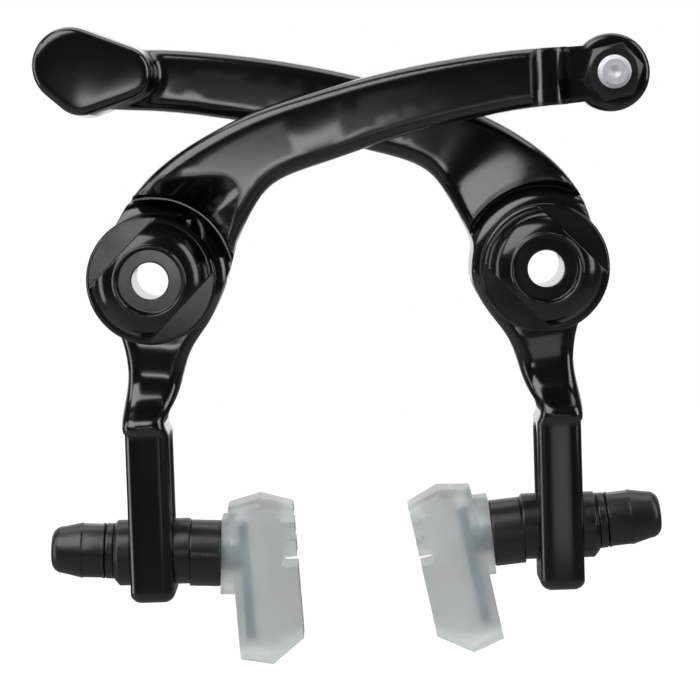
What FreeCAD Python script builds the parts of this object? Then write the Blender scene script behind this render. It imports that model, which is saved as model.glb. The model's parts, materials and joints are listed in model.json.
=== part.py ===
"""U-brake: two forged arms that cross, each on its own sprung pivot, with pads on slotted legs.

Frame: origin midway between the pivot axes on the mounting plane, X to the right, Z up.
The pivot axes run along Y and the front of the brake faces -Y.
"""
import FreeCAD, Part
import os
import re
import Sketcher

Vector = FreeCAD.Vector
doc = FreeCAD.newDocument("u_brake")
sheet = doc.addObject("Spreadsheet::Sheet", "sizes")

# Driving dimensions in millimetres and degrees; "front" and "back" count forward from the mounting plane.
SIZES = {
    # pivots
    "pivot_spacing": 75, "stud_radius": 4.05, "sleeve_radius": 5.5, "sleeve_length": 19.9,
    "sleeve_flange_radius": 7.6, "sleeve_flange": 1.5, "bush_wall": 1.0, "bush_length": 7.6,
    "running_gap": 0.05, "face_gap": 0.3, "touch_gap": 0.02,
    # hub of each arm
    "hub_depth": 15.4, "hub_radius": 11.7, "hub_fillet": 3.6, "ring_start": 15.6, "ring_curve": 6,
    "front_ring_end": 16.4, "front_ring_height": 2.5, "rear_ring_end": 18.4, "rear_ring_height": 5,
    "scoop_floor": 13.5, "scoop_slope": 38, "scoop_margin": 1,
    "spring_pocket_radius": 10.2, "spring_pocket_floor": 9.6,
    # forged section
    "corner_radius": 2.4, "forge_draft": 4,
    "front_arm_back": 15.5, "front_arm_face": 24.6, "rear_arm_back": 3.2, "rear_arm_face": 13.2,
    "cable_reach": 88.5, "cable_rise": 36.6,
    # leg
    "leg_shift": 2.1, "leg_width": 8.9, "leg_seat": 8.4, "leg_back": 2.5, "leg_face": 18, "leg_length": 62.5,
    "leg_top": 30, "leg_brow_up": 4.6, "leg_brow_face": 16.6, "neck_face": 13.4, "neck_back": 2.8,
    "leg_round": 2.3, "slot_width": 6.6, "slot_top": 30.5, "slot_end_wall": 4.5, "slot_corner": 3.2,
    "seat_width": 14.2, "seat_top": 29.5,
    # cable anchor on the front arm
    "anchor_radius": 7.4, "anchor_back": 12.6, "anchor_face": 19.2,
    "anchor_round": 1.2, "step_start": 15.6, "step_end": 8.2, "step_curve": 5,
    "bolt_radius": 3.0, "bolt_end": 26.2, "bolt_head_radius": 5.2, "bolt_head": 4.2, "bolt_hole_gap": 0.2,
    "bolt_socket": 5, "bolt_socket_depth": 2.6,
    "cable_hole_radius": 1.1, "cable_washer": 1.2, "cable_washer_radius": 6.2, "cable_angle": 30,
    "anchor_nut_across": 10, "anchor_nut_height": 5.2, "anchor_nut_face_radius": 4.4, "anchor_nut_turn": 11,
    "thread_gap": 0.03,
    # cable end on the rear arm
    "egg_back": 2.9, "egg_face": 22, "egg_round": 1.6, "egg_draft": 0.4, "egg_foot": 2.8,
    "egg_big_in": -0.1, "egg_big_up": 4.4, "egg_big_radius": 7.2,
    "egg_low_in": 1.7, "egg_low_up": 0.4, "egg_low_radius": 5.4,
    "egg_nose_in": 10.1, "egg_nose_up": 2.7, "egg_nose_radius": 5.0,
    "cable_end_radius": 3.6, "cable_end_depth": 8, "cable_slot": 2.4,
    # tension cap
    "cap_radius": 12.4, "cap_rim": 2.1, "cap_front": 25.2, "cap_collar_radius": 7.0, "cap_chamfer": 0.35,
    "cap_dome_radius": 5.4, "cap_round": 1.0, "cap_flats": 15, "cap_flat_angle": 45, "cap_bolt_radius": 3.5,
    "cap_bolt_seat": 22, "cap_counterbore": 6.1, "cap_roof": 18.6, "cap_wall": 1.6,
    # return spring
    "wire_radius": 0.9, "coil_radius": 8.0, "coil_turns": 3, "coil_pitch": 2.2, "tang_length": 2.8,
    "tang_radius": 0.75, "tang_gap": 0.15,
    # pad stack along its post
    "left_post_up": 9.1, "right_post_up": 11.8, "left_post_tilt": 3.1, "right_post_tilt": 5.0,
    "left_pad_cant": -6, "right_pad_cant": 6,
    "post_radius": 2.95, "post_end": 17.6, "washer_radius": 6.4, "washer_hole": 3.9, "washer_round": 0.4,
    "inner_seat_radius": 9.7, "outer_seat_radius": 9.2, "seat_gap": 0.04,
    "spacer_end": 13.4, "spacer_radius": 6.45, "cup_radius": 5.4, "cup_end": 9.3, "cup_hole": 3.1,
    "pad_nut_length": 10.4, "pad_nut_across": 10, "pad_nut_radius": 5.4, "pad_nut_hex": 4.4,
    "pad_nut_tip_radius": 4.55, "pad_nut_round": 2.2,
    # brake pad
    "pad_boss": 2.1, "pad_boss_height": 15, "pad_boss_width": 10.4, "pad_depth": 12.5, "pad_ridge": 6.2,
    "pad_top": 11, "pad_bottom": 21.5, "pad_width": 13.2, "pad_corner": 2.0, "pad_back_inset": 1.2,
    "pad_face_top_inset": 1.9, "pad_face_bottom_inset": 4.3, "pad_face_side_inset": 1.5,
    "plate_thickness": 2.0, "plate_cover": 1.6, "plate_top": 7.4, "plate_bottom": 16.4, "plate_width": 8,
    "plate_corner": 1.5, "pad_groove_depth": 3, "pad_groove_short": 1.6,
    "pad_groove_wide": 2.0, "pad_groove_middle": 0.9, "pad_groove_narrow": 1.2,
    "pad_groove_top": 6.4, "pad_groove_mid": 2.6, "pad_groove_low": -1.8,
}

# Forged sections round the hub of both arms: inward and upward from the pivot, turn of the path, width.
STATIONS = {
    "neck": (-0.6, -20, 5, 10.2),
    "hub_low": (0.2, -13, 7, 13.4),
    "hub_side": (0.9, -8, 6, 18.8),
    "hub_mid": (1.8, 0, 6, 24.8),
    "shoulder_low": (4.5, 6.8, 22, 23.4),
    "shoulder_mid": (9.3, 14.2, 39, 20.3),
    "shoulder_high": (14.5, 19.2, 52, 17),
}
for station, numbers in STATIONS.items():
    for word, number in zip(("in", "up", "turn", "width"), numbers):
        SIZES[f"{station}_{word}"] = number

# Free arms: share of the reach where each starts and ends, width there, bow of its path,
# and the lift and outward shift that lead its shoulder past the other arm.
FREE_ARMS = {
    "front": {"start": 0.245, "end": 0.949, "root_width": 13.9, "tip_width": 10.6, "bow": 12.4,
              "lift": 0, "shift": 0},
    "rear": {"start": 0.227, "end": 0.944, "root_width": 13.9, "tip_width": 11.5, "bow": 12.5,
             "lift": 2, "shift": 1.6},
}
ARM_SECTIONS = 7
for arm, numbers in FREE_ARMS.items():
    for word, number in numbers.items():
        SIZES[f"{arm}_{word}"] = number

# Corners of the scoop in the front arm's shoulder, inward and upward from the pivot.
SCOOP = {"left": (-9.6, 5.3), "crown_left": (0.3, 17.9), "crown": (2.6, 20.6), "crown_right": (14.6, 20.5),
         "right": (18.6, 17), "right_low": (14.5, -3), "low": (2, -9.5), "left_low": (-8.5, -4)}
SCOOP_ROUNDS = {"crown_left": 3.5, "crown_right": 4}
for corner, numbers in SCOOP.items():
    for word, number in zip(("in", "up"), numbers):
        SIZES[f"scoop_{corner}_{word}"] = number
for corner, number in SCOOP_ROUNDS.items():
    SIZES[f"scoop_{corner}_round"] = number

# Front and back of the shoulder sections of each arm, between its hub and its straight part.
SHOULDER_DEPTHS = {
    "front": {"hub_mid": (2.8, 20), "shoulder_low": (5.6, 23.4), "shoulder_mid": (11.6, 24.5),
              "shoulder_high": (15.1, 24.6)},
    "rear": {"hub_mid": (2.8, 17.4), "shoulder_low": (2.8, 18), "shoulder_mid": (2.9, 15.6),
             "shoulder_high": (3.1, 13.6)},
}
for arm, depths in SHOULDER_DEPTHS.items():
    for station, (back, front) in depths.items():
        SIZES[f"{arm}_{station}_back"] = back
        SIZES[f"{arm}_{station}_face"] = front

for row, (name, number) in enumerate(SIZES.items(), start=1):
    sheet.set(f"A{row}", name)
    sheet.set(f"B{row}", str(number))
    sheet.setAlias(f"B{row}", name)
doc.recompute()

WORD = re.compile(r"\b[a-z_]+\b")
NEAR = 0.01
pieces = {}


def full(text):
    """The expression with each size's name led back to the sheet."""
    return WORD.sub(lambda m: f"sizes.{m[0]}" if m[0] in SIZES else m[0], str(text))


def value(text):
    """The number that an expression gives now."""
    return float(sheet.evalExpression(full(text)))


def bind(item, prop, text):
    """Bind one property to an expression of the sheet."""
    item.setExpression(prop, full(text))


def new_body(label):
    """An empty body whose label is its node name."""
    body = doc.addObject("PartDesign::Body", label)
    body.Label = label
    pieces[label] = body
    return body


def place(body, x="0", y="0", z="0", turn=None):
    """Bind where a body stands, and its turn about Y."""
    for axis, text in zip("xyz", (x, y, z)):
        bind(body, f"Placement.Base.{axis}", text)
    if turn is not None:
        body.Placement = FreeCAD.Placement(Vector(), FreeCAD.Rotation(Vector(0, 1, 0), 1))
        bind(body, "Placement.Rotation.Angle", turn)


def new_sketch(body, name, plane, base=("0", "0", "0"), axis=None, turn="0"):
    """A sketch on one of the body's own planes, moved and turned by bound values."""
    sketch = body.newObject("Sketcher::SketchObject", name)
    support = next(item for item in body.Origin.OriginFeatures if item.Role == plane)
    sketch.AttachmentSupport = [(support, "")]
    sketch.MapMode = "FlatFace"
    if axis is not None:
        sketch.AttachmentOffset = FreeCAD.Placement(Vector(), FreeCAD.Rotation(Vector(*axis), 1))
        bind(sketch, "AttachmentOffset.Rotation.Angle", turn)
    for letter, text in zip("xyz", base):
        if text != "0":
            bind(sketch, f"AttachmentOffset.Base.{letter}", text)
    return sketch


def fix(sketch, kind, geometry, end, text):
    """Bind the distance of one point from the sketch's origin."""
    index = sketch.addConstraint(Sketcher.Constraint(kind, -1, 1, geometry, end, value(text)))
    bind(sketch, f"Constraints[{index}]", text)


def arc_between(start, end, radius, side):
    """The shorter arc from start to end, its centre on the left for side 1 and right for side -1."""
    chord = end - start
    across = Vector(-chord.y, chord.x, 0).normalize()
    height = max(radius ** 2 - (chord.Length / 2) ** 2, 0) ** 0.5
    centre = start + chord * 0.5 + across * (side * height)
    first, last = (start, end) if side > 0 else (end, start)
    angles = [Vector(1, 0, 0).getAngle(p - centre) * (1 if p.y >= centre.y else -1) for p in (first, last)]
    return Part.ArcOfCircle(Part.Circle(centre, Vector(0, 0, 1), radius), *angles)


def add_loop(sketch, corners):
    """A closed outline; a corner is (x, y), or (x, y, radius, side) where an arc leaves it."""
    points = [Vector(value(c[0]), value(c[1]), 0) for c in corners]
    edges = []
    for i, corner in enumerate(corners):
        start, end = points[i], points[(i + 1) % len(points)]
        if len(corner) == 2:
            edges.append((sketch.addGeometry(Part.LineSegment(start, end)), 1, 2))
            continue
        index = sketch.addGeometry(arc_between(start, end, value(corner[2]), corner[3]))
        edges.append((index, 1, 2) if corner[3] > 0 else (index, 2, 1))
    for i, corner in enumerate(corners):
        index, head, tail = edges[i]
        following = edges[(i + 1) % len(edges)]
        sketch.addConstraint(Sketcher.Constraint("Coincident", index, tail, following[0], following[1]))
        fix(sketch, "DistanceX", index, head, corner[0])
        fix(sketch, "DistanceY", index, head, corner[1])
        if len(corner) > 2:
            radius = sketch.addConstraint(Sketcher.Constraint("Radius", index, value(corner[2])))
            bind(sketch, f"Constraints[{radius}]", corner[2])


def add_circle(sketch, x, y, radius):
    """A full circle with a bound centre and radius."""
    circle = Part.Circle(Vector(value(x), value(y), 0), Vector(0, 0, 1), value(radius))
    index = sketch.addGeometry(circle)
    fix(sketch, "DistanceX", index, 3, x)
    fix(sketch, "DistanceY", index, 3, y)
    constraint = sketch.addConstraint(Sketcher.Constraint("Radius", index, value(radius)))
    bind(sketch, f"Constraints[{constraint}]", radius)


def box_loop(left, low, right, high):
    """The four corners of a rectangle."""
    return [(left, low), (right, low), (right, high), (left, high)]


def rounded_loop(left, low, right, high, radius):
    """A rectangle with rounded corners."""
    near_left, near_right = f"{left} + {radius}", f"{right} - {radius}"
    near_low, near_high = f"{low} + {radius}", f"{high} - {radius}"
    return [(near_left, low), (near_right, low, radius, 1), (right, near_low), (right, near_high, radius, 1),
            (near_right, high), (near_left, high, radius, 1), (left, near_high), (left, near_low, radius, 1)]


def hexagon(across, turn="0"):
    """The corners of a hexagon of the given width across flats."""
    reach = f"{across} / 2 / cos(30)"
    return [(f"{reach} * cos({60 * i} + {turn})", f"{reach} * sin({60 * i} + {turn})") for i in range(6)]


def feature(body, kind, name, sketch, **values):
    """A feature on a sketch; text values are bound, the rest are set."""
    item = body.newObject(f"PartDesign::{kind}", name)
    item.Profile = sketch
    for prop, entry in values.items():
        if isinstance(entry, str) and prop not in ("Type", "Mode"):
            bind(item, prop, entry)
        else:
            setattr(item, prop, entry)
    sketch.Visibility = False
    doc.recompute()
    return item


def turned(body, kind, name, corners, line="V_Axis", base=("0", "0", "0"), axis=None, turn="0"):
    """A full turn of an outline about one axis of its sketch on the XY plane."""
    sketch = new_sketch(body, f"{name}_outline", "XY_Plane", base, axis, turn)
    add_loop(sketch, corners)
    return feature(body, kind, name, sketch, ReferenceAxis=(sketch, [line]), Angle=360.0)


def forward(corners):
    """An outline given as (radius, distance forward) in the sketch's own directions."""
    return [(c[0], f"-({c[1]})", *c[2:]) for c in corners]


def front_sketch(body, name, distance, base=("0", "0"), turn="0"):
    """A sketch seen from the front, a distance forward of the mounting plane."""
    return new_sketch(body, name, "XZ_Plane", (base[0], base[1], distance), (0, 0, 1), turn)


def forged_section(body, name, side, reach, rise, turn, width, back, face, draft):
    """One section of the forging: rounded corners, and sides that draft from the parting line."""
    sketch = new_sketch(body, name, "XY_Plane", (f"{side} * ({reach})", "0", rise), (0, 1, 0),
                        f"{side} * ({turn})")
    half = f"(({face}) - ({back})) / 2"
    centre = f"(({width}) / 2 - ({half} - corner_radius) * tan({draft}) - corner_radius / cos({draft}))"
    flank = f"({centre} + corner_radius * cos({draft}))"
    dip = f"corner_radius * (1 - sin({draft}))"
    edge = f"({width}) / 2"
    middle = f"-(({face}) + ({back})) / 2"
    low, high = f"-({face})", f"-({back})"
    add_loop(sketch, [
        (f"-{centre}", low), (centre, low, "corner_radius", 1), (flank, f"{low} + {dip}"), (edge, middle),
        (flank, f"{high} - {dip}", "corner_radius", 1), (centre, high),
        (f"-{centre}", high, "corner_radius", 1), (f"-{flank}", f"{high} - {dip}"), (f"-{edge}", middle),
        (f"-{flank}", f"{low} + {dip}", "corner_radius", 1)])
    return sketch


HUB_BACK = "(sleeve_flange + face_gap)"
HUB_FACE = f"({HUB_BACK} + hub_depth)"
CAP_BASE = f"({HUB_FACE} + face_gap)"


def free_sections(body, side, arm):
    """Even sections of the free arm, on a parabola that levels out at the cable."""
    sections = []
    for i in range(ARM_SECTIONS):
        step = f"{i} / {ARM_SECTIONS - 1}"
        left = f"(1 - {arm}_start - ({arm}_end - {arm}_start) * {step})"
        drop = f"{arm}_bow * ({left} / (1 - {arm}_start)) ^ 2"
        slope = f"2 * {arm}_bow * {left} / (1 - {arm}_start) ^ 2 / cable_reach"
        width = f"{arm}_root_width + ({arm}_tip_width - {arm}_root_width) * {step}"
        sections.append(forged_section(
            body, f"{arm}_free_{i}", side, f"cable_reach * (1 - {left})", f"cable_rise + {arm}_lift - {drop}",
            f"90 deg - atan({slope})", width, f"{arm}_arm_back", f"{arm}_arm_face", "forge_draft"))
    return sections


def forged_arm(label, side, arm):
    """The forging of one arm: a straight leg, and a loft from its head through the hub to the tip."""
    body = new_body(label)
    place(body, x=f"{-side} * pivot_spacing / 2")
    sections = [forged_section(body, f"{arm}_{name}", side, "-leg_shift", f"-({drop})", "0", "leg_width",
                               "leg_back", face, "0")
                for name, drop, face in (("leg_head", "leg_top", "leg_face"),
                                         ("leg_brow", "leg_top - leg_brow_up", "leg_brow_face"))]
    for name in STATIONS:
        if name in SHOULDER_DEPTHS[arm]:
            back, face, draft = f"{arm}_{name}_back", f"{arm}_{name}_face", "forge_draft"
        else:
            back, face, draft = "neck_back", "neck_face", "0"
        reach, rise = f"{name}_in", f"{name}_up"
        if name.startswith("shoulder"):
            reach, rise = f"{reach} - {arm}_shift", f"{rise} + {arm}_lift"
        sections.append(forged_section(body, f"{arm}_{name}", side, reach, rise, f"{name}_turn",
                                       f"{name}_width", back, face, draft))
    sections += free_sections(body, side, arm)
    feature(body, "AdditiveLoft", f"{arm}_forging", sections[0], Sections=sections[1:])
    leg = feature(body, "Pad", f"{arm}_leg", sections[0], Length="leg_length - leg_top", Reversed=True)
    foot = [f"Edge{i}" for i, edge in enumerate(leg.Shape.Edges, start=1)
            if edge.BoundBox.ZMax < -value("leg_length") + NEAR]
    rounding(body, f"{arm}_foot", leg, foot, "leg_round")
    if arm == "front":
        shoulder_scoop(body)
    hub_and_bores(body, arm)
    pad_slot(body, side, arm)
    return body


def rounding(body, name, base, edges, radius):
    """A fillet on the named edges of a feature."""
    fillet = body.newObject("PartDesign::Fillet", name)
    fillet.Base = (base, edges)
    bind(fillet, "Radius", radius)
    doc.recompute()
    return fillet


def shoulder_scoop(body):
    """The hollow that falls from the front arm's face to its hub, with sloping walls."""
    outline = []
    for corner in SCOOP:
        point = (f"scoop_{corner}_in", f"scoop_{corner}_up")
        outline.append((*point, f"scoop_{corner}_round", -1) if corner in SCOOP_ROUNDS else point)
    sketch = front_sketch(body, "scoop_outline", "front_arm_face + scoop_margin")
    add_loop(sketch, outline)
    feature(body, "Pocket", "scoop", sketch, Length="front_arm_face + scoop_margin - scoop_floor",
            TaperAngle="-scoop_slope")


def hub_and_bores(body, arm):
    """Hub face in its round recess, bush bore, spring pocket and the hole for the spring's tang."""
    clear = "2 * front_arm_face"
    sketch = front_sketch(body, f"{arm}_hub_outline", HUB_BACK)
    add_circle(sketch, "0", "0", "hub_radius")
    feature(body, "Pad", f"{arm}_hub", sketch, Length="hub_depth")
    floor = f"({HUB_FACE} - hub_fillet)"
    turned(body, "Groove", f"{arm}_recess", forward([
        ("0", HUB_FACE), ("hub_radius", HUB_FACE, "hub_fillet", 1), ("hub_radius + hub_fillet", floor),
        ("ring_start", floor, "ring_curve", 1), (f"{arm}_ring_end", f"{floor} + {arm}_ring_height"),
        (f"{arm}_ring_end", clear), ("0", clear)]))
    bore = "sleeve_radius + running_gap + bush_wall"
    turned(body, "Groove", f"{arm}_bores", forward([
        ("0", "0"), (bore, "0"), (bore, "spring_pocket_floor"),
        ("spring_pocket_radius", "spring_pocket_floor"), ("spring_pocket_radius", clear), ("0", clear)]))
    sketch = front_sketch(body, f"{arm}_tang_spot", "spring_pocket_floor")
    add_circle(sketch, *TANG_SPOT[arm], "tang_radius + tang_gap")
    feature(body, "Pocket", f"{arm}_tang_hole", sketch, Length="tang_length")


def pad_slot(body, side, arm):
    """Flat seats on both sides of the leg, and the slot that the pad's post slides in."""
    middle = "-(leg_back + leg_face) / 2"
    for word, way in (("outer", -1), ("inner", 1)):
        sketch = new_sketch(body, f"{arm}_{word}_seat_outline", "YZ_Plane",
                            ("0", "0", f"{side} * ({way} * leg_seat / 2 - leg_shift)"))
        add_loop(sketch, box_loop(f"{middle} - seat_width / 2", "-leg_length - leg_round",
                                  f"{middle} + seat_width / 2", "-seat_top"))
        feature(body, "Pocket", f"{arm}_{word}_seat", sketch, Length="leg_width", Reversed=side * way > 0)
    sketch = new_sketch(body, f"{arm}_slot_outline", "YZ_Plane", ("0", "0", f"{-side} * leg_shift"))
    add_loop(sketch, rounded_loop(f"({middle} - slot_width / 2)", "(slot_end_wall - leg_length)",
                                  f"({middle} + slot_width / 2)", "-slot_top", "slot_corner"))
    feature(body, "Pocket", f"{arm}_slot", sketch, Length="2 * leg_width", Midplane=True)


def front_arm():
    """Left pivot, passes in front; its tip is the boss of the cable anchor."""
    body = forged_arm("front_arm", 1, "front")
    turned(body, "Revolution", "anchor_boss", forward([
        ("0", "anchor_back"), ("anchor_radius - anchor_round", "anchor_back", "anchor_round", -1),
        ("anchor_radius", "anchor_back + anchor_round"),
        ("anchor_radius", "anchor_face - anchor_round", "anchor_round", -1),
        ("anchor_radius - anchor_round", "anchor_face"), ("0", "anchor_face")]),
        base=("cable_reach", "0", "cable_rise"))
    sketch = new_sketch(body, "anchor_step_outline", "XY_Plane")
    start, end = "(cable_reach - step_start)", "(cable_reach - step_end)"
    past = "cable_reach + 2 * anchor_radius"
    middle = f"({start} + {end}) / 2"
    level = "(front_arm_face + anchor_face) / 2"
    add_loop(sketch, forward([
        (start, "front_arm_face", "step_curve", -1), (middle, level, "step_curve", 1), (end, "anchor_face"),
        (past, "anchor_face"), (past, "2 * front_arm_face"), (start, "2 * front_arm_face")]))
    feature(body, "Pocket", "anchor_step", sketch, Length="4 * cable_rise", Midplane=True)
    sketch = front_sketch(body, "anchor_hole_spot", "0")
    add_circle(sketch, "cable_reach", "cable_rise", "bolt_radius + bolt_hole_gap")
    feature(body, "Pocket", "anchor_hole", sketch, Length="2 * front_arm_face", Reversed=True)


def tangent_points(first, second):
    """Where the outer tangent from one circle to the next, going clockwise, touches both."""
    (x, y, r), (u, v, q) = first, second
    span = f"hypot({u} - ({x}); {v} - ({y}))"
    lean = f"(atan2({v} - ({y}); {u} - ({x})) + 90 deg + asin(({q} - {r}) / {span}))"
    return [(f"({x}) + {r} * cos({lean})", f"({y}) + {r} * sin({lean})"),
            (f"({u}) + {q} * cos({lean})", f"({v}) + {q} * sin({lean})")]


def egg_outline(body, name, distance, grow):
    """Three round corners joined by straight sides, grown outward all round."""
    circles = [(f"(egg_{word}_in - cable_reach)", f"(cable_rise + egg_{word}_up)",
                f"(egg_{word}_radius + {grow})") for word in ("big", "nose", "low")]
    outline = []
    for i, circle in enumerate(circles):
        leave, reach = tangent_points(circle, circles[(i + 1) % 3])
        outline += [leave, (*reach, circles[(i + 1) % 3][2], -1)]
    sketch = front_sketch(body, name, distance)
    add_loop(sketch, outline)
    return sketch


def rear_arm():
    """Right pivot, passes behind; its tip is the egg-shaped boss that holds the cable's end."""
    body = forged_arm("rear_arm", -1, "rear")
    base = egg_outline(body, "egg_base", "egg_back", "egg_draft")
    front = egg_outline(body, "egg_front", "egg_face", "0")
    egg = feature(body, "AdditiveLoft", "egg_boss", base, Sections=[front], Ruled=True)
    rim = [f"Edge{i}" for i, edge in enumerate(egg.Shape.Edges, start=1)
           if edge.BoundBox.YMax < -value("egg_face") + NEAR]
    egg = rounding(body, "egg_rim", egg, rim, "egg_round")
    foot = [f"Edge{i}" for i, edge in enumerate(egg.Shape.Edges, start=1)
            if abs(edge.BoundBox.YMin + value("rear_arm_face")) < NEAR
            and abs(edge.BoundBox.YMax + value("rear_arm_face")) < NEAR]
    rounding(body, "egg_foot_round", egg, foot, "egg_foot")
    sketch = front_sketch(body, "cable_end_spot", "egg_back")
    socket = ("egg_big_in - cable_reach", "cable_rise + egg_big_up")
    add_circle(sketch, *socket, "cable_end_radius")
    feature(body, "Pocket", "cable_end_socket", sketch, Length="cable_end_depth", Reversed=True)
    sketch = front_sketch(body, "cable_slot_outline", "egg_back", socket, "cable_angle")
    add_loop(sketch, box_loop("0", "-cable_slot / 2", "3 * egg_big_radius", "cable_slot / 2"))
    feature(body, "Pocket", "cable_slot_cut", sketch, Length="cable_end_depth / 2", Reversed=True)


def pivot_pieces(word, side, arm):
    """Sleeve, bush, return spring and tension cap on one pivot axis."""
    centre = f"{-side} * pivot_spacing / 2"
    sleeve = new_body(f"{word}_pivot_sleeve")
    turned(sleeve, "Revolution", f"{word}_sleeve_turn", forward([
        ("stud_radius", "0"), ("sleeve_flange_radius", "0"), ("sleeve_flange_radius", "sleeve_flange"),
        ("sleeve_radius", "sleeve_flange"), ("sleeve_radius", "sleeve_length"),
        ("stud_radius", "sleeve_length")]))
    bush = new_body(f"{word}_pivot_bush")
    inside, outside = "sleeve_radius + running_gap", "sleeve_radius + running_gap + bush_wall"
    turned(bush, "Revolution", f"{word}_bush_turn", forward([
        (inside, HUB_BACK), (outside, HUB_BACK), (outside, f"{HUB_BACK} + bush_length"),
        (inside, f"{HUB_BACK} + bush_length")]))
    spring = return_spring(word, arm)
    cap = tension_cap(word, side, arm)
    for body in (sleeve, bush, spring, cap):
        place(body, x=centre)


def return_spring(word, arm):
    """A torsion coil with one tang back into the arm and one forward into the cap."""
    body = new_body(f"{word}_return_spring")
    start = "(spring_pocket_floor + face_gap + wire_radius)"
    end = f"({start} + coil_turns * coil_pitch)"
    x, z = TANG_SPOT[arm]
    sketch = new_sketch(body, f"{word}_wire", "XY_Plane", axis=(0, 1, 0), turn=f"-({TANG_ANGLE[arm]})")
    add_circle(sketch, "coil_radius", f"-{start}", "wire_radius")
    feature(body, "AdditiveHelix", f"{word}_coil", sketch, ReferenceAxis=(sketch, ["V_Axis"]),
            Mode="pitch-turns-angle", Pitch="coil_pitch", Turns="coil_turns", Reversed=True)
    for name, distance, ahead in (("back", start, False), ("front", end, True)):
        sketch = front_sketch(body, f"{word}_{name}_tang_spot", distance)
        add_circle(sketch, x, z, "tang_radius")
        length = "face_gap + wire_radius + tang_length - tang_gap"
        feature(body, "Pad", f"{word}_{name}_tang", sketch, Length=length, Reversed=not ahead)
    return body


def tension_cap(word, side, arm):
    """The cap that sets the spring's tension: domed, with two wrench flats and a seat for the bolt."""
    body = new_body(f"{word}_tension_cap")
    rim = f"({CAP_BASE} + cap_rim)"
    bore = "sleeve_radius + running_gap"
    shoulder = "sleeve_length + tang_gap"
    inner, outer = f"{bore} + cap_wall / 2", "spring_pocket_radius"
    turned(body, "Revolution", f"{word}_cap_turn", forward([
        ("cap_bolt_radius", shoulder), (bore, shoulder), (bore, CAP_BASE), (inner, CAP_BASE),
        (inner, "cap_roof"), (outer, "cap_roof"), (outer, CAP_BASE), ("cap_radius - cap_chamfer", CAP_BASE),
        ("cap_radius", f"{CAP_BASE} + cap_chamfer"), ("cap_radius", f"{rim} - cap_round", "cap_round", -1),
        ("cap_radius - cap_round", rim), ("cap_radius - cap_round - cap_chamfer", rim, "cap_dome_radius", -1),
        ("cap_collar_radius", "cap_front - cap_chamfer"), ("cap_collar_radius - cap_chamfer", "cap_front"),
        ("cap_counterbore + cap_chamfer", "cap_front"), ("cap_counterbore", "cap_front - cap_chamfer"),
        ("cap_counterbore", "cap_bolt_seat"), ("cap_bolt_radius", "cap_bolt_seat")]))
    for name, way in (("upper", 1), ("lower", -1)):
        sketch = front_sketch(body, f"{word}_{name}_flat_outline", f"{rim} - cap_chamfer / 2",
                              turn=f"{side} * cap_flat_angle")
        add_loop(sketch, box_loop("-2 * cap_radius", f"{way} * cap_flats / 2", "2 * cap_radius",
                                  f"{way} * 2 * cap_radius"))
        feature(body, "Pocket", f"{word}_{name}_flat", sketch, Length="cap_front", Reversed=True)
    sketch = front_sketch(body, f"{word}_cap_tang_spot", "cap_roof")
    add_circle(sketch, *TANG_SPOT[arm], "tang_radius + tang_gap")
    feature(body, "Pocket", f"{word}_cap_tang_hole", sketch, Length="tang_length", Reversed=True)
    return body


def anchor_pieces():
    """Bolt with its cable eye, the washer that pinches the cable, and the nut in front."""
    spot = dict(x="cable_reach - pivot_spacing / 2", z="cable_rise")
    bolt = new_body("cable_anchor_bolt")
    under = "(anchor_back - cable_washer - 2 * cable_hole_radius)"
    turned(bolt, "Revolution", "anchor_bolt_turn", forward([
        ("0", f"{under} - bolt_head"), ("bolt_head_radius - anchor_round", f"{under} - bolt_head",
         "anchor_round", -1), ("bolt_head_radius", f"{under} - bolt_head + anchor_round"),
        ("bolt_head_radius", under), ("bolt_radius", under), ("bolt_radius", "bolt_end - anchor_round / 2"),
        ("bolt_radius - anchor_round / 2", "bolt_end"), ("0", "bolt_end")]))
    cable_eye(bolt, under)
    sketch = front_sketch(bolt, "bolt_socket_outline", f"{under} - bolt_head")
    add_loop(sketch, hexagon("bolt_socket"))
    feature(bolt, "Pocket", "bolt_socket_cut", sketch, Length="bolt_socket_depth", Reversed=True)
    washer = new_body("cable_anchor_washer")
    hole = "bolt_radius + bolt_hole_gap"
    near = "(anchor_back - touch_gap)"
    turned(washer, "Revolution", "cable_washer_turn", forward([
        (hole, f"{near} - cable_washer"), ("cable_washer_radius", f"{near} - cable_washer"),
        ("cable_washer_radius", near), (hole, near)]))
    nut = new_body("cable_anchor_nut")
    sketch = front_sketch(nut, "anchor_nut_outline", "anchor_face + touch_gap", turn="anchor_nut_turn")
    add_loop(sketch, hexagon("anchor_nut_across"))
    add_circle(sketch, "0", "0", "bolt_radius + thread_gap")
    feature(nut, "Pad", "anchor_nut_pad", sketch, Length="anchor_nut_height")
    top = "anchor_face + touch_gap + anchor_nut_height"
    slope = "(anchor_nut_across - anchor_nut_face_radius) * tan(30)"
    turned(nut, "Groove", "anchor_nut_chamfer", forward([
        ("anchor_nut_face_radius", top), ("anchor_nut_across", f"{top} - {slope}"),
        ("anchor_nut_across", f"{top} + face_gap"), ("anchor_nut_face_radius", f"{top} + face_gap")]))
    for body in (bolt, washer, nut):
        place(body, **spot)


def cable_eye(bolt, under):
    """The cross hole in the bolt that the cable runs through."""
    sketch = new_sketch(bolt, "cable_eye_spot", "YZ_Plane", axis=(1, 0, 0), turn="cable_angle")
    add_circle(sketch, f"-({under} + cable_hole_radius)", "0", "cable_hole_radius")
    feature(bolt, "Pocket", "cable_eye", sketch, Length="4 * bolt_radius", Midplane=True)


def along(side, corners):
    """An outline given as (distance inward, radius), for the left or the right post."""
    return [(f"{side} * ({c[0]})", *c[1:3], *(c[3] * side for _ in c[3:])) for c in corners]


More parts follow.
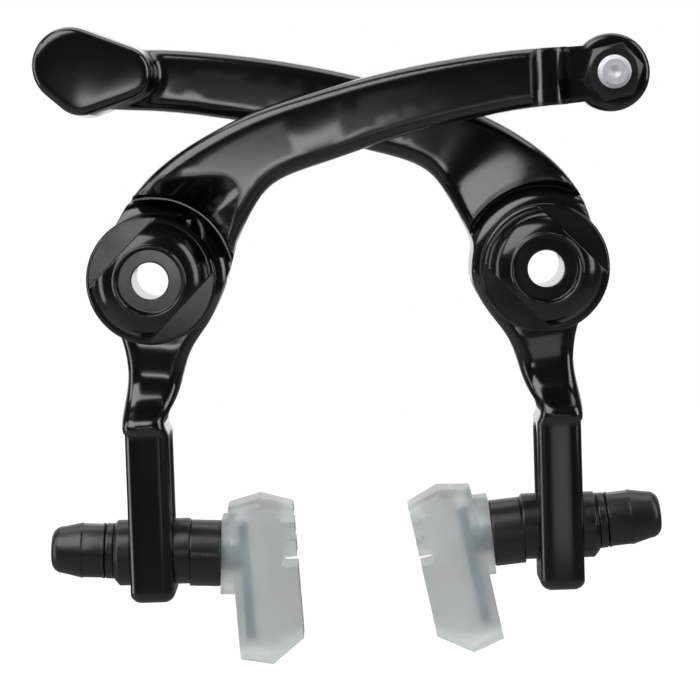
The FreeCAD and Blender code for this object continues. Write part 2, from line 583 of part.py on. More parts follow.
def pad_stack(word, side):
    """Pad, stud, domed and cupped washers and nut on one post through the leg's slot."""
    x = f"{-side} * (pivot_spacing / 2 + leg_shift)"
    y, z = "-(leg_back + leg_face) / 2", f"({word}_post_up - leg_length)"
    tilt = f"{side} * {word}_post_tilt"
    face = "leg_seat / 2"
    for name, way, seat in (("inner", 1, "inner_seat_radius"), ("outer", -1, "outer_seat_radius")):
        washer = new_body(f"{word}_{name}_dome_washer")
        rim = f"sqrt({seat} ^ 2 - washer_radius ^ 2)"
        hole = f"sqrt({seat} ^ 2 - washer_hole ^ 2)"
        turned(washer, "Revolution", f"{word}_{name}_dome_turn", along(side * way, [
            (face, "washer_hole"), (face, "washer_radius"), (rim, "washer_radius", seat, -1),
            (hole, "washer_hole")]), line="H_Axis")
        place(washer, x, y, z)
    tilted = []
    for name, way, seat, reach, end, hole in (
            ("inner_cup_spacer", 1, "inner_seat_radius", "spacer_radius", "spacer_end", "cup_hole"),
            ("outer_cup_washer", -1, "outer_seat_radius", "cup_radius", "cup_end", "cup_hole")):
        cup = new_body(f"{word}_{name}")
        hollow = f"({seat} + seat_gap)"
        turned(cup, "Revolution", f"{word}_{name}_turn", along(side * way, [
            (f"sqrt({hollow} ^ 2 - {hole} ^ 2)", hole, hollow, 1),
            (f"sqrt({hollow} ^ 2 - {reach} ^ 2)", reach), (f"{end} - washer_round", reach),
            (end, f"{reach} - washer_round"), (end, hole)]), line="H_Axis")
        tilted.append(cup)
    tilted.append(pad_nut(word, side))
    for body in tilted:
        place(body, x, y, z, tilt)
    root = "(spacer_end + pad_boss)"
    spot = (f"{x} + {side} * {root} * cos({word}_post_tilt)", y, f"{z} - {root} * sin({word}_post_tilt)",
            f"{side} * ({word}_post_tilt + {word}_pad_cant)")
    for body in (pad_stud(word, side), brake_pad(word, side)):
        place(body, *spot)


def pad_nut(word, side):
    """A hexagon nut with a long tapered, rounded end."""
    body = new_body(f"{word}_pad_nut")
    tip = "cup_end + pad_nut_length"
    bore = "post_radius + thread_gap"
    turned(body, "Revolution", f"{word}_pad_nut_turn", along(-side, [
        ("cup_end", bore), ("cup_end", "pad_nut_radius"), ("cup_end + pad_nut_hex", "pad_nut_radius"),
        (f"{tip} - pad_nut_round", "pad_nut_tip_radius", "pad_nut_round", -1),
        (tip, "pad_nut_tip_radius - pad_nut_round"), (tip, "0"), ("post_end + face_gap", "0"),
        ("post_end + face_gap", bore)]), line="H_Axis")
    sketch = new_sketch(body, f"{word}_pad_nut_flats", "YZ_Plane",
                        ("0", "0", f"{-side} * (cup_end + washer_round)"))
    add_loop(sketch, hexagon("pad_nut_across"))
    add_circle(sketch, "0", "0", "pad_nut_across")
    feature(body, "Pocket", f"{word}_pad_nut_hex_cut", sketch, Length="pad_nut_hex - washer_round",
            Reversed=side < 0)
    return body


def plate_outline(body, name, side, distance):
    """The steel plate inside the pad, seen along its thickness."""
    sketch = new_sketch(body, name, "YZ_Plane", ("0", "0", f"{side} * ({distance})"))
    add_loop(sketch, rounded_loop("(-plate_width / 2)", "(-plate_bottom)", "(plate_width / 2)", "plate_top",
                                  "plate_corner"))
    return sketch


def post_outline(side, start, end):
    """Half section of the post, measured inward from the pad's back."""
    return along(side, [(start, "0"), (start, "post_radius"), (end, "post_radius"), (end, "0")])


def pad_stud(word, side):
    """Steel plate moulded into the pad, and the post that leaves it at the pad's cant."""
    body = new_body(f"{word}_pad_stud")
    sketch = plate_outline(body, f"{word}_plate_outline", side, "plate_cover")
    feature(body, "Pad", f"{word}_plate", sketch, Length="plate_thickness", Reversed=side < 0)
    turned(body, "Revolution", f"{word}_post", post_outline(side, "-(spacer_end + pad_boss + post_end)",
           "plate_cover + plate_thickness / 2"), "H_Axis", axis=(0, 1, 0), turn=f"{-side} * {word}_pad_cant")
    return body


def pad_section(body, name, side, distance, top, bottom, sides):
    """One outline of the pad: its long axis is upright and its corners are rounded."""
    sketch = new_sketch(body, name, "YZ_Plane", ("0", "0", f"{side} * ({distance})"))
    half = f"(pad_width / 2 - {sides})"
    add_loop(sketch, rounded_loop(f"(-{half})", f"(-(pad_bottom - {bottom}))", half, f"(pad_top - {top})",
                                  "pad_corner"))
    return sketch


def brake_pad(word, side):
    """Moulded pad: widest at its ridge, with a boss behind, cross grooves in front and the plate inside."""
    body = new_body(f"{word}_brake_pad")
    back = pad_section(body, f"{word}_pad_back", side, "0", *["pad_back_inset"] * 3)
    ridge = pad_section(body, f"{word}_pad_ridge", side, "pad_ridge", "0", "0", "0")
    face = pad_section(body, f"{word}_pad_face", side, "pad_depth", "pad_face_top_inset",
                       "pad_face_bottom_inset", "pad_face_side_inset")
    feature(body, "AdditiveLoft", f"{word}_pad_block", back, Sections=[ridge, face], Ruled=True)
    lean = f"({-side} * {word}_pad_cant)"
    sketch = new_sketch(body, f"{word}_boss_outline", "YZ_Plane",
                        ("0", f"{side} * pad_boss * sin({lean})", f"{-side} * pad_boss * cos({lean})"),
                        (1, 0, 0), lean)
    add_loop(sketch, rounded_loop("(-pad_boss_width / 2)", "(-pad_boss_height / 2)", "(pad_boss_width / 2)",
                                  "(pad_boss_height / 2)", "pad_corner"))
    feature(body, "Pad", f"{word}_pad_boss_block", sketch, Length="pad_boss + plate_cover", Reversed=side < 0)
    grooves = (("top", "narrow", "depth"), ("mid", "middle", "short"), ("low", "wide", "depth"))
    for height, width, depth in grooves:
        spot, half = f"pad_groove_{height}", f"pad_groove_{width} / 2"
        deep = f"(pad_depth - pad_groove_{depth})"
        sketch = new_sketch(body, f"{word}_{height}_groove_outline", "XZ_Plane")
        past = f"{side} * (pad_depth + pad_groove_depth)"
        turn_in = f"{side} * ({deep} + {half})"
        add_loop(sketch, [(past, f"{spot} - {half}"), (past, f"{spot} + {half}"),
                          (turn_in, f"{spot} + {half}", half, side), (f"{side} * {deep}", spot, half, side),
                          (turn_in, f"{spot} - {half}")])
        feature(body, "Pocket", f"{word}_{height}_groove", sketch, Length="2 * pad_width", Midplane=True)
    sketch = plate_outline(body, f"{word}_plate_room_outline", side, "plate_cover")
    feature(body, "Pocket", f"{word}_plate_room", sketch, Length="plate_thickness", Reversed=side > 0)
    turned(body, "Groove", f"{word}_post_room", post_outline(side, "-2 * pad_boss",
           "plate_cover + plate_thickness / 2"), "H_Axis", axis=(0, 1, 0), turn=f"{-side} * {word}_pad_cant")
    return body


TANG_ANGLE = {"front": "cap_flat_angle", "rear": "180 - cap_flat_angle"}
TANG_SPOT = {arm: (f"coil_radius * cos({turn})", f"coil_radius * sin({turn})")
             for arm, turn in TANG_ANGLE.items()}

front_arm()
rear_arm()
pivot_pieces("left", 1, "front")
pivot_pieces("right", -1, "rear")
anchor_pieces()
pad_stack("left", 1)
pad_stack("right", -1)
doc.recompute()

faults = [item.Label for item in doc.Objects if {"Invalid", "Error"} & set(item.State)]
faults += [label for label, body in pieces.items() if body.Shape.isNull() or not body.Shape.isValid()]
if faults:
    raise RuntimeError("not built: " + ", ".join(faults))

os.makedirs("parts", exist_ok=True)
for label, body in pieces.items():
    body.Shape.exportStep(f"parts/{label}.step")
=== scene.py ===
"""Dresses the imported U-brake: powder-coated forgings, turned hardware, clear moulded pads, white studio."""

import json
import math

import bpy
from bpy.props import FloatProperty, FloatVectorProperty, IntProperty, PointerProperty
from mathutils import Matrix, Vector

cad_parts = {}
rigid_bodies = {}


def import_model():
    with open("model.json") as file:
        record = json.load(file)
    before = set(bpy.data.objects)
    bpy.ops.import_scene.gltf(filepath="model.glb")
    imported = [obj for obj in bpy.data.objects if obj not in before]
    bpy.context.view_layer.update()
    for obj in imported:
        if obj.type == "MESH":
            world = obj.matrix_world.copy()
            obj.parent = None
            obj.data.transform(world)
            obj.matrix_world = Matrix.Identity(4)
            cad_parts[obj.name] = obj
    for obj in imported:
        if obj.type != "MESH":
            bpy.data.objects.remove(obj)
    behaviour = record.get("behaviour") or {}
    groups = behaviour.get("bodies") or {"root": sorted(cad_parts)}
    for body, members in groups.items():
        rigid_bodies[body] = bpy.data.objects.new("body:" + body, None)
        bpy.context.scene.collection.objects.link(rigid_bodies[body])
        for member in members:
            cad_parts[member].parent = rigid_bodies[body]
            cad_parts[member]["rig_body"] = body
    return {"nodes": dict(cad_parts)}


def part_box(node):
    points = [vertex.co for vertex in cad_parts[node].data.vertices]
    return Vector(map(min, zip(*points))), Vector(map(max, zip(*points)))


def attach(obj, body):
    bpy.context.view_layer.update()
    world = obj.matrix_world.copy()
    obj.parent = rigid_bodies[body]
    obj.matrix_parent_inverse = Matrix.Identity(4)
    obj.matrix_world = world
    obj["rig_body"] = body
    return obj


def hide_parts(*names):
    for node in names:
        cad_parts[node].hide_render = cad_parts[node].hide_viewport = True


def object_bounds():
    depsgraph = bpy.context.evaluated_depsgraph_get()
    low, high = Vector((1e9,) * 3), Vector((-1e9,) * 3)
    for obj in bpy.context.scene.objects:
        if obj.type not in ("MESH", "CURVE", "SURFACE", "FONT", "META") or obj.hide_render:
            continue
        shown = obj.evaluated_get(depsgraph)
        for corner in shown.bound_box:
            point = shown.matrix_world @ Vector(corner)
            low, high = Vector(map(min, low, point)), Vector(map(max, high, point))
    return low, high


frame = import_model()
cad_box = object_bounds()

bl_info = {
    "name": "U-brake dresser",
    "version": (1, 0, 0),
    "blender": (4, 5, 0),
    "location": "View3D > Sidebar > Brake",
    "description": "Finishes the pieces of a bicycle U-brake and sets its studio",
    "category": "Object",
}

SIDES = ("left", "right")
IMAGE_PIXELS = 700
SAME_PLACE = 1e-6
NOISE_MIDDLE = (0.3, 0.7)
TINT_MIDDLE = (0.35, 0.65)
EDGE_SAMPLES = 8
SCRATCH_DEPTH = 0.000006
PEEL_DRIFT = 12
TOOL_DRIFT = 9
FLECK_SIZE = 0.0006
SKIN_SIZE = 0.0009
SKIN_DEPTH = 0.000015
CLOUD_SIZE = 0.009
MARK_SLOPE = 0.8
PAD_EDGE_STEPS = 3
PAD_EDGE_ANGLE = math.radians(35)
FLOOR_SIZE = 8
BACKDROP_START, BACKDROP_FULL = 0.5, 0.85


class BrakeFinish(bpy.types.PropertyGroup):
    """Colours and surface sizes of the brake's finishes."""

    coat_colour: FloatVectorProperty(
        name="Coat colour", description="Powder coat of the arms", subtype="COLOR", size=4,
        default=(0.0042, 0.0042, 0.0046, 1), min=0, max=1)
    coat_roughness: FloatProperty(
        name="Coat roughness", description="Gloss of the powder coat", subtype="FACTOR",
        default=0.14, min=0, max=1)
    peel_size: FloatProperty(
        name="Peel size", description="Width of the coat's soft ripples", subtype="DISTANCE", unit="LENGTH",
        default=0.0021)
    peel_depth: FloatProperty(
        name="Peel depth", description="Depth of the coat's soft ripples", subtype="DISTANCE", unit="LENGTH",
        default=0.000004)
    coat_edge: FloatProperty(
        name="Coat edge", description="How softly the coat runs over an edge", subtype="DISTANCE",
        unit="LENGTH", default=0.0016)
    metal_edge: FloatProperty(
        name="Metal edge", description="How softly the edges of black metal are broken", subtype="DISTANCE",
        unit="LENGTH", default=0.0004)
    cap_colour: FloatVectorProperty(
        name="Cap colour", description="Black anodising of the tension caps", subtype="COLOR", size=4,
        default=(0.005, 0.005, 0.0054, 1), min=0, max=1)
    oxide_colour: FloatVectorProperty(
        name="Oxide colour", description="Black oxide of the nuts and washers", subtype="COLOR", size=4,
        default=(0.007, 0.007, 0.0074, 1), min=0, max=1)
    zinc_colour: FloatVectorProperty(
        name="Zinc colour", description="Bright zinc of the bolt, sleeves and studs", subtype="COLOR", size=4,
        default=(0.62, 0.64, 0.67, 1), min=0, max=1)
    pad_colour: FloatVectorProperty(
        name="Pad colour", description="Tint of the clear pad compound", subtype="COLOR", size=4,
        default=(0.83, 0.875, 0.865, 1), min=0, max=1)
    plate_colour: FloatVectorProperty(
        name="Plate colour", description="Blue-grey steel of the plate inside each pad", subtype="COLOR",
        size=4, default=(0.13, 0.20, 0.30, 1), min=0, max=1)
    plate_gap: FloatProperty(
        name="Plate gap", description="Room round the plate inside the pad", subtype="DISTANCE",
        unit="LENGTH", default=0.00008)
    pad_edge: FloatProperty(
        name="Pad edge", description="Soft rounding of the moulded pads", subtype="DISTANCE", unit="LENGTH",
        default=0.0008)
    smooth_angle: FloatProperty(
        name="Smooth angle", description="Edges flatter than this are shaded round", subtype="ANGLE",
        default=math.radians(28))
    mark_radius: FloatProperty(
        name="Mark radius", description="Radius of the dimple in the anchor bolt's end", subtype="DISTANCE",
        unit="LENGTH", default=0.0012)
    mark_depth: FloatProperty(
        name="Mark depth", description="Depth of the dimple in the anchor bolt's end", subtype="DISTANCE",
        unit="LENGTH", default=0.0004)
    thread_pitch: FloatProperty(
        name="Thread pitch", description="Pitch of the anchor bolt's thread", subtype="DISTANCE",
        unit="LENGTH", default=0.0005)
    thread_height: FloatProperty(
        name="Thread height", description="How far a thread's crest stands up", subtype="DISTANCE",
        unit="LENGTH", default=0.00013)
    thread_run_out: FloatProperty(
        name="Thread run-out", description="Plain chamfered length at the bolt's end", subtype="DISTANCE",
        unit="LENGTH", default=0.0006)
    thread_steps: IntProperty(
        name="Thread steps", description="Facets in one turn of the thread", default=64, min=12)


class BrakeStage(bpy.types.PropertyGroup):
    """Camera and light of the studio."""

    view_target: FloatVectorProperty(
        name="View target", description="Point that the camera's place is measured from",
        subtype="TRANSLATION", unit="LENGTH", default=(0, -0.02, 0))
    target_pixel: FloatVectorProperty(
        name="Target pixel", description="Where the target shows in the image", size=2, default=(348, 274.25))
    view_distance: FloatProperty(
        name="View distance", description="Depth of the target from the camera", subtype="DISTANCE",
        unit="LENGTH", default=0.52)
    pixels_per_metre: FloatProperty(
        name="Pixels per metre", description="Image scale at the target", default=5269)
    view_drop: FloatProperty(
        name="View drop", description="How far the camera looks down", subtype="ANGLE",
        default=math.radians(4.6))
    view_roll: FloatProperty(
        name="View roll", description="How far the camera leans", subtype="ANGLE", default=math.radians(1.81))
    floor_drop: FloatProperty(
        name="Floor drop", description="Height of the brake above the floor", subtype="DISTANCE",
        unit="LENGTH", default=0.38)
    floor_colour: FloatVectorProperty(
        name="Floor colour", description="Pale studio floor", subtype="COLOR", size=4,
        default=(0.34, 0.34, 0.34, 1), min=0, max=1)
    floor_glow: FloatProperty(
        name="Floor glow", description="How far the camera sees the floor as white", subtype="FACTOR",
        default=0.96, min=0, max=1)
    room_level: FloatProperty(
        name="Room level", description="Light of the room in front of the brake", subtype="FACTOR",
        default=0.04, min=0, max=1)


def new_material(name):
    """A node material with its principled shader."""
    material = bpy.data.materials.new(name)
    material.use_nodes = True
    nodes, links = material.node_tree.nodes, material.node_tree.links
    return material, nodes, links, nodes["Principled BSDF"]


def grain(nodes, links, size, detail=3.0, stretch=(1, 1, 1)):
    """Noise whose features are about the given size, in the piece's own coordinates."""
    place = nodes.new("ShaderNodeTexCoord")
    mapping = nodes.new("ShaderNodeMapping")
    mapping.inputs["Scale"].default_value = [factor / size for factor in stretch]
    noise = nodes.new("ShaderNodeTexNoise")
    noise.inputs["Scale"].default_value = 1
    noise.inputs["Detail"].default_value = detail
    links.new(place.outputs["Object"], mapping.inputs["Vector"])
    links.new(mapping.outputs["Vector"], noise.inputs["Vector"])
    return noise


def between(nodes, links, source, low, high, target):
    """Spread a noise's middle range from low to high over a socket."""
    spread = nodes.new("ShaderNodeMapRange")
    spread.inputs["From Min"].default_value = NOISE_MIDDLE[0]
    spread.inputs["From Max"].default_value = NOISE_MIDDLE[1]
    spread.inputs["To Min"].default_value = low
    spread.inputs["To Max"].default_value = high
    links.new(source.outputs["Fac"], spread.inputs["Value"])
    links.new(spread.outputs["Result"], target)


def relief(nodes, links, source, depth, shader):
    """Raise a noise on the surface by a real depth."""
    bump = nodes.new("ShaderNodeBump")
    bump.inputs["Strength"].default_value = 1
    bump.inputs["Distance"].default_value = depth
    links.new(source.outputs["Fac"], bump.inputs["Height"])
    links.new(bump.outputs["Normal"], shader.inputs["Normal"])
    return bump


def flow_over(nodes, links, bump, radius):
    """Let a coat run softly over the edges under it."""
    edge = nodes.new("ShaderNodeBevel")
    edge.samples = EDGE_SAMPLES
    edge.inputs["Radius"].default_value = radius
    links.new(edge.outputs["Normal"], bump.inputs["Normal"])


def tint(nodes, links, source, dark, light, shader):
    """Drift the base colour between two shades."""
    ramp = nodes.new("ShaderNodeValToRGB")
    for stop, place, colour in zip(ramp.color_ramp.elements, TINT_MIDDLE, (dark, light)):
        stop.position = place
        stop.color = colour
    links.new(source.outputs["Fac"], ramp.inputs["Fac"])
    links.new(ramp.outputs["Color"], shader.inputs["Base Color"])


def shade(colour, factor):
    """The same colour, lighter or darker."""
    return [channel * factor for channel in colour[:3]] + [1]


def powder_coat(finish):
    """Gloss black powder coat: soft ripples under a clear top."""
    material, nodes, links, shader = new_material("gloss_powder_coat")
    ripples = grain(nodes, links, finish.peel_size, 1.5)
    bump = relief(nodes, links, ripples, finish.peel_depth, shader)
    flow_over(nodes, links, bump, finish.coat_edge)
    drift = grain(nodes, links, PEEL_DRIFT * finish.peel_size)
    between(nodes, links, drift, 0.95 * finish.coat_roughness, 1.05 * finish.coat_roughness,
            shader.inputs["Roughness"])
    tint(nodes, links, drift, shade(finish.coat_colour, 0.85), shade(finish.coat_colour, 1.2), shader)
    shader.inputs["Coat Weight"].default_value = 0.6
    shader.inputs["Coat Roughness"].default_value = 0.1
    return material


def black_metal(name, colour, roughness, size, depth, edge):
    """Blackened turned metal with fine tool grain and broken edges."""
    material, nodes, links, shader = new_material(name)
    fine = grain(nodes, links, size, 4)
    bump = relief(nodes, links, fine, depth, shader)
    flow_over(nodes, links, bump, edge)
    drift = grain(nodes, links, TOOL_DRIFT * size)
    between(nodes, links, drift, 0.8 * roughness, 1.2 * roughness, shader.inputs["Roughness"])
    tint(nodes, links, drift, shade(colour, 0.8), shade(colour, 1.3), shader)
    shader.inputs["Specular IOR Level"].default_value = 0.6
    return material


def bright_metal(name, colour, roughness, size, stretch=(1, 1, 1), metallic=1.0):
    """Plated or drawn steel with fine scratches; dull plating is less metallic."""
    material, nodes, links, shader = new_material(name)
    lines = grain(nodes, links, size, 4, stretch)
    relief(nodes, links, lines, SCRATCH_DEPTH, shader)
    between(nodes, links, lines, 0.75 * roughness, 1.3 * roughness, shader.inputs["Roughness"])
    tint(nodes, links, lines, shade(colour, 0.9), colour, shader)
    shader.inputs["Metallic"].default_value = metallic
    return material


def bush_polymer():
    """Plain bearing polymer, flecked with dry lubricant."""
    material, nodes, links, shader = new_material("bush_polymer")
    flecks = grain(nodes, links, FLECK_SIZE, 5)
    between(nodes, links, flecks, 0.45, 0.65, shader.inputs["Roughness"])
    tint(nodes, links, flecks, (0.05, 0.05, 0.052, 1), (0.09, 0.09, 0.09, 1), shader)
    return material


def clear_compound(finish):
    """Milky clear pad compound with a matt moulded skin."""
    material, nodes, links, shader = new_material("clear_pad_compound")
    skin = grain(nodes, links, SKIN_SIZE, 3)
    relief(nodes, links, skin, SKIN_DEPTH, shader)
    cloud = grain(nodes, links, CLOUD_SIZE, 2)
    between(nodes, links, cloud, 0.56, 0.68, shader.inputs["Roughness"])
    tint(nodes, links, cloud, shade(finish.pad_colour, 0.93), finish.pad_colour, shader)
    shader.inputs["Transmission Weight"].default_value = 0.8
    shader.inputs["Coat Weight"].default_value = 0.5
    shader.inputs["Coat Roughness"].default_value = 0.15
    shader.inputs["IOR"].default_value = 1.38
    return material


def only(piece):
    """Make one object the whole selection."""
    bpy.ops.object.select_all(action="DESELECT")
    piece.select_set(True)
    bpy.context.view_layer.objects.active = piece


def smooth(piece, finish):
    """Merge loose corners and round the shading of everything but true edges."""
    only(piece)
    bpy.ops.object.mode_set(mode="EDIT")
    bpy.ops.mesh.customdata_custom_splitnormals_clear()
    bpy.ops.mesh.select_all(action="SELECT")
    bpy.ops.mesh.remove_doubles(threshold=SAME_PLACE)
    bpy.ops.object.mode_set(mode="OBJECT")
    bpy.ops.object.shade_smooth_by_angle(angle=finish.smooth_angle)


def dress(node, material, finish):
    """A smooth skin over one solid, in its place and with its finish."""
    solid = frame["nodes"][node]
    skin = bpy.data.objects.new(f"{node}_skin", solid.data.copy())
    bpy.context.scene.collection.objects.link(skin)
    smooth(skin, finish)
    for owner in (solid, skin):
        owner.data.materials.clear()
        owner.data.materials.append(material)
    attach(skin, solid["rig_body"])
    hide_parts(node)
    return skin


def soften(piece, width):
    """Round the true edges of a moulded piece."""
    bevel = piece.modifiers.new("soft_edges", "BEVEL")
    bevel.width = width
    bevel.segments = PAD_EDGE_STEPS
    bevel.limit_method = "ANGLE"
    bevel.angle_limit = PAD_EDGE_ANGLE
    only(piece)
    bpy.ops.object.modifier_apply(modifier=bevel.name)


def draw_in(piece, gap):
    """Stand a moulded-in piece clear of the walls round it, so that light reaches its faces."""
    inset = piece.modifiers.new("moulding_gap", "DISPLACE")
    inset.mid_level = 0
    inset.strength = -gap
    only(piece)
    bpy.ops.object.modifier_apply(modifier=inset.name)


class BRAKE_OT_arms(bpy.types.Operator):
    """Coat the two forged arms"""

    bl_idname = "brake.coat_arms"
    bl_label = "Coat the arms"

    def execute(self, context):
        finish = context.scene.brake_finish
        coat = powder_coat(finish)
        for node in ("front_arm", "rear_arm"):
            dress(node, coat, finish)
        return {"FINISHED"}


class BRAKE_OT_pivots(bpy.types.Operator):
    """Finish the sleeves, bushes, return springs and tension caps"""

    bl_idname = "brake.finish_pivots"
    bl_label = "Finish the pivots"

    def execute(self, context):
        finish = context.scene.brake_finish
        finishes = {
            "pivot_sleeve": bright_metal("turned_sleeve", finish.zinc_colour, 0.24, 0.0007, (1, 6, 1)),
            "pivot_bush": bush_polymer(),
            "return_spring": bright_metal("drawn_wire", shade(finish.zinc_colour, 0.6), 0.34, 0.0008),
            "tension_cap": black_metal(
                "anodised_cap", finish.cap_colour, 0.16, 0.0011, 0.000005, finish.metal_edge),
        }
        for side in SIDES:
            for name, material in finishes.items():
                dress(f"{side}_{name}", material, finish)
        return {"FINISHED"}


class BRAKE_OT_anchor(bpy.types.Operator):
    """Finish the cable anchor, and cut the thread on the end of its bolt"""

    bl_idname = "brake.finish_anchor"
    bl_label = "Finish the cable anchor"

    def execute(self, context):
        finish = context.scene.brake_finish
        zinc = bright_metal("dull_zinc", shade(finish.zinc_colour, 1.25), 0.5, 0.0009, metallic=0.45)
        oxide = black_metal("anchor_oxide", finish.oxide_colour, 0.3, 0.0009, 0.000008, finish.metal_edge)
        self.centre_mark(dress("cable_anchor_bolt", zinc, finish), finish)
        dress("cable_anchor_washer", oxide, finish)
        dress("cable_anchor_nut", oxide, finish)
        self.thread(finish, zinc)
        return {"FINISHED"}

    def centre_mark(self, bolt, finish):
        """Sink the turned dimple that a lathe's centre leaves in the middle of the bolt's end."""
        bolt_end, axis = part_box("cable_anchor_bolt")[0].y, anchor_axis()
        rim = [v.co for v in bolt.data.vertices if abs(v.co.y - bolt_end) < SAME_PLACE]
        end_radius = max(math.hypot(place.x - axis.x, place.z - axis.z) for place in rim)
        only(bolt)
        bpy.ops.object.mode_set(mode="EDIT")
        bpy.ops.mesh.select_mode(type="FACE")
        bpy.ops.mesh.select_all(action="DESELECT")
        bpy.ops.object.mode_set(mode="OBJECT")
        for face in bolt.data.polygons:
            face.select = abs(face.center.y - bolt_end) < SAME_PLACE
        bpy.ops.object.mode_set(mode="EDIT")
        bpy.ops.mesh.dissolve_faces()
        bpy.ops.mesh.inset(thickness=end_radius - finish.mark_radius, depth=0)
        bpy.ops.mesh.inset(thickness=MARK_SLOPE * finish.mark_radius, depth=-finish.mark_depth)
        bpy.ops.object.mode_set(mode="OBJECT")

    def thread(self, finish, zinc):
        """One ridge wound round the bolt from the nut's face to the start of its chamfer."""
        bolt_end, nut_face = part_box("cable_anchor_bolt")[0].y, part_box("cable_anchor_nut")[0].y
        axis = anchor_axis()
        bpy.ops.object.select_all(action="DESELECT")
        bpy.ops.mesh.primitive_circle_add(vertices=3, radius=finish.thread_height, fill_type="NGON")
        ridge = bpy.context.active_object
        ridge.name = "anchor_thread"
        quarter_turn = Matrix.Rotation(-math.pi / 2, 4, "Z")
        ridge.data.transform(Matrix.Translation((bolt_radius(), 0, 0)) @ quarter_turn)
        turns = (nut_face - bolt_end - finish.thread_run_out) / finish.thread_pitch
        screw = ridge.modifiers.new("winding", "SCREW")
        screw.axis = "Y"
        screw.angle = turns * math.tau
        screw.screw_offset = -turns * finish.thread_pitch
        screw.steps = screw.render_steps = int(turns * finish.thread_steps)
        screw.use_smooth_shade = False
        only(ridge)
        bpy.ops.object.modifier_apply(modifier=screw.name)
        ridge.data.transform(Matrix.Translation((axis.x, nut_face, axis.z)))
        bpy.ops.object.mode_set(mode="EDIT")
        bpy.ops.mesh.select_all(action="SELECT")
        bpy.ops.mesh.fill_holes(sides=3)
        bpy.ops.mesh.select_all(action="SELECT")
        bpy.ops.mesh.normals_make_consistent(inside=False)
        bpy.ops.object.mode_set(mode="OBJECT")
        ridge.data.materials.append(zinc)
        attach(ridge, "front_arm")


def anchor_axis():
    """Middle of the anchor nut, which the bolt's axis runs through."""
    low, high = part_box("cable_anchor_nut")
    return (low + high) / 2


def bolt_radius():
    """Radius of the anchor bolt, read from the end of its shank."""
    axis, nut_face = anchor_axis(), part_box("cable_anchor_nut")[0].y
    shank = [v.co for v in frame["nodes"]["cable_anchor_bolt"].data.vertices if v.co.y < nut_face]
    return max(math.hypot(p.x - axis.x, p.z - axis.z) for p in shank)


class BRAKE_OT_pads(bpy.types.Operator):
    """Finish the pads with their studs, washers and nuts"""

    bl_idname = "brake.finish_pads"
    bl_label = "Finish the pads"

    def execute(self, context):
        finish = context.scene.brake_finish
        compound = clear_compound(finish)
        plate = bright_metal("stud_steel", finish.plate_colour, 0.5, 0.0012, metallic=0.1)
        oxide = black_metal(
            "pad_hardware_oxide", finish.oxide_colour, 0.33, 0.0008, 0.000012, finish.metal_edge)
        finishes = {"brake_pad": compound, "pad_stud": plate, "pad_nut": oxide}
        for name in ("inner_dome_washer", "outer_dome_washer", "inner_cup_spacer", "outer_cup_washer"):
            finishes[name] = oxide
        for side in SIDES:
            for name, material in finishes.items():
                skin = dress(f"{side}_{name}", material, finish)
                if name == "brake_pad":
                    soften(skin, finish.pad_edge)
                if name == "pad_stud":
                    draw_in(skin, finish.plate_gap)
        return {"FINISHED"}


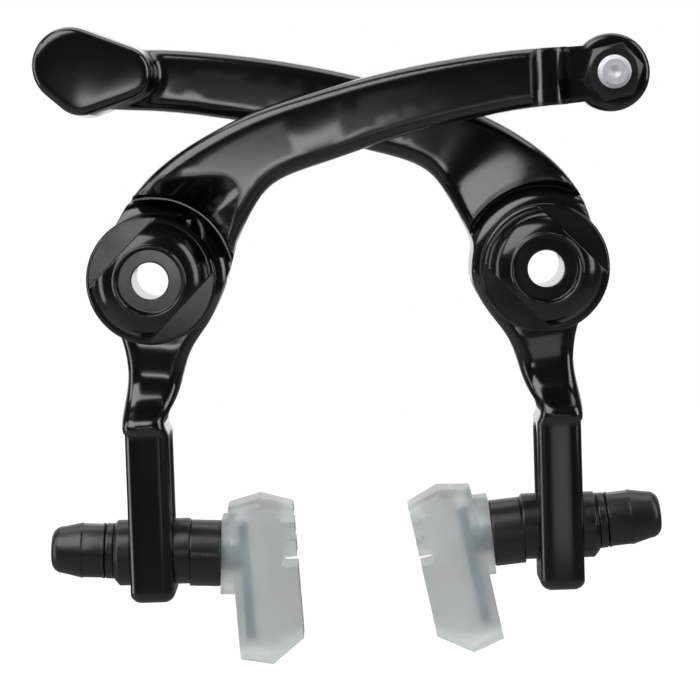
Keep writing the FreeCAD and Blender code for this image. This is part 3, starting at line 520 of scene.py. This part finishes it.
class BRAKE_OT_stage(bpy.types.Operator):
    """Set the floor, the lamps, the white surround and the camera"""

    bl_idname = "brake.set_stage"
    bl_label = "Set the stage"

    def execute(self, context):
        stage = context.scene.brake_stage
        self.floor(stage)
        self.lamps()
        self.surround(context.scene, stage)
        self.camera(context.scene, stage)
        context.scene.view_settings.view_transform = "Standard"
        return {"FINISHED"}

    def floor(self, stage):
        """A wide pale floor well under the brake, white to the camera."""
        bpy.ops.object.select_all(action="DESELECT")
        bpy.ops.mesh.primitive_plane_add(size=FLOOR_SIZE)
        floor = bpy.context.active_object
        floor.name = "studio_floor"
        floor.data.transform(Matrix.Translation((0, 0, cad_box[0].z - stage.floor_drop)))
        material, nodes, links, shader = new_material("pale_floor")
        shader.inputs["Base Color"].default_value = stage.floor_colour
        shader.inputs["Roughness"].default_value = 0.9
        shader.inputs["Emission Color"].default_value = (1, 1, 1, 1)
        path = nodes.new("ShaderNodeLightPath")
        glow = nodes.new("ShaderNodeMath")
        glow.operation = "MULTIPLY"
        glow.inputs[1].default_value = stage.floor_glow
        links.new(path.outputs["Is Camera Ray"], glow.inputs[0])
        links.new(glow.outputs["Value"], shader.inputs["Emission Strength"])
        floor.data.materials.append(material)

    def lamps(self):
        """A broad key at upper left, strips at both sides, a top bank and two small cards in front."""
        boxes = (
            ("key_box", (-0.60, -0.70, 0.85), (1.10, 1.10), 14.0),
            ("right_strip", (0.75, -0.28, 0.30), (0.30, 0.90), 3.0),
            ("top_bank", (0.05, 0.22, 0.80), (1.00, 0.50), 3.0),
            ("left_strip", (-0.75, -0.05, 0.10), (0.25, 0.90), 2.0),
            ("front_card", (-0.050, -0.75, -0.012), (0.15, 0.05), 0.13),
            ("low_card", (0.10, -0.75, -0.15), (0.10, 0.13), 0.032),
        )
        for name, place, size, power in boxes:
            lamp = bpy.data.lights.new(name, "AREA")
            lamp.shape = "RECTANGLE"
            lamp.size, lamp.size_y = size
            lamp.energy = power
            box = bpy.data.objects.new(name, lamp)
            box.location = place
            box.rotation_euler = (-Vector(place)).to_track_quat("-Z", "Y").to_euler()
            bpy.context.scene.collection.objects.link(box)

    def surround(self, scene, stage):
        """White behind the brake and to the camera, and a dim room in front of it."""
        world = bpy.data.worlds.new("white_studio")
        scene.world = world
        world.use_nodes = True
        nodes, links = world.node_tree.nodes, world.node_tree.links
        place = nodes.new("ShaderNodeTexCoord")
        axes = nodes.new("ShaderNodeSeparateXYZ")
        links.new(place.outputs["Generated"], axes.inputs["Vector"])
        behind = nodes.new("ShaderNodeMapRange")
        behind.inputs["From Min"].default_value = BACKDROP_START
        behind.inputs["From Max"].default_value = BACKDROP_FULL
        behind.inputs["To Min"].default_value = stage.room_level
        behind.inputs["To Max"].default_value = 1
        links.new(axes.outputs["Y"], behind.inputs["Value"])
        path = nodes.new("ShaderNodeLightPath")
        seen = nodes.new("ShaderNodeMath")
        seen.operation = "MAXIMUM"
        links.new(path.outputs["Is Camera Ray"], seen.inputs[0])
        links.new(path.outputs["Is Transmission Ray"], seen.inputs[1])
        level = nodes.new("ShaderNodeMath")
        level.operation = "MAXIMUM"
        links.new(behind.outputs["Result"], level.inputs[0])
        links.new(seen.outputs["Value"], level.inputs[1])
        sky = nodes["Background"]
        sky.inputs["Color"].default_value = (1, 1, 1, 1)
        links.new(level.outputs["Value"], sky.inputs["Strength"])

    def camera(self, scene, stage):
        """The photograph's view: almost level, leaning a little, through a long lens."""
        lens = bpy.data.cameras.new("view")
        focal_pixels = stage.pixels_per_metre * stage.view_distance
        lens.sensor_width = 36
        lens.lens = focal_pixels / IMAGE_PIXELS * lens.sensor_width
        drop, roll = stage.view_drop, stage.view_roll
        ahead = Vector((0, math.cos(drop), -math.sin(drop)))
        level_up = Vector((0, math.sin(drop), math.cos(drop)))
        level_right = ahead.cross(level_up)
        right = math.cos(roll) * level_right - math.sin(roll) * level_up
        up = math.cos(roll) * level_up + math.sin(roll) * level_right
        across = (stage.target_pixel[0] - IMAGE_PIXELS / 2) / stage.pixels_per_metre
        above = (IMAGE_PIXELS / 2 - stage.target_pixel[1]) / stage.pixels_per_metre
        camera = bpy.data.objects.new("view", lens)
        target = Vector(stage.view_target)
        camera.location = target - ahead * stage.view_distance - right * across - up * above
        camera.rotation_euler = Matrix((right, up, -ahead)).transposed().to_euler()
        lens.clip_start = 0.01
        scene.collection.objects.link(camera)
        scene.camera = camera


class BRAKE_PT_panel(bpy.types.Panel):
    """The brake's finishes and studio, in the order they are made"""

    bl_idname = "BRAKE_PT_panel"
    bl_label = "U-brake"
    bl_space_type = "VIEW_3D"
    bl_region_type = "UI"
    bl_category = "Brake"

    def draw(self, context):
        for name in OPERATORS:
            self.layout.operator(name)
        for group in (context.scene.brake_finish, context.scene.brake_stage):
            for prop in group.__annotations__:
                self.layout.prop(group, prop)


OPERATORS = ("brake.coat_arms", "brake.finish_pivots", "brake.finish_anchor", "brake.finish_pads",
             "brake.set_stage")
CLASSES = (BrakeFinish, BrakeStage, BRAKE_OT_arms, BRAKE_OT_pivots, BRAKE_OT_anchor, BRAKE_OT_pads,
           BRAKE_OT_stage, BRAKE_PT_panel)


def register():
    for entry in CLASSES:
        bpy.utils.register_class(entry)
    bpy.types.Scene.brake_finish = PointerProperty(type=BrakeFinish)
    bpy.types.Scene.brake_stage = PointerProperty(type=BrakeStage)


def unregister():
    del bpy.types.Scene.brake_stage
    del bpy.types.Scene.brake_finish
    for entry in reversed(CLASSES):
        bpy.utils.unregister_class(entry)


def main():
    register()
    bpy.ops.brake.coat_arms()
    bpy.ops.brake.finish_pivots()
    bpy.ops.brake.finish_anchor()
    bpy.ops.brake.finish_pads()
    bpy.ops.brake.set_stage()


if __name__ == "__main__":
    main()
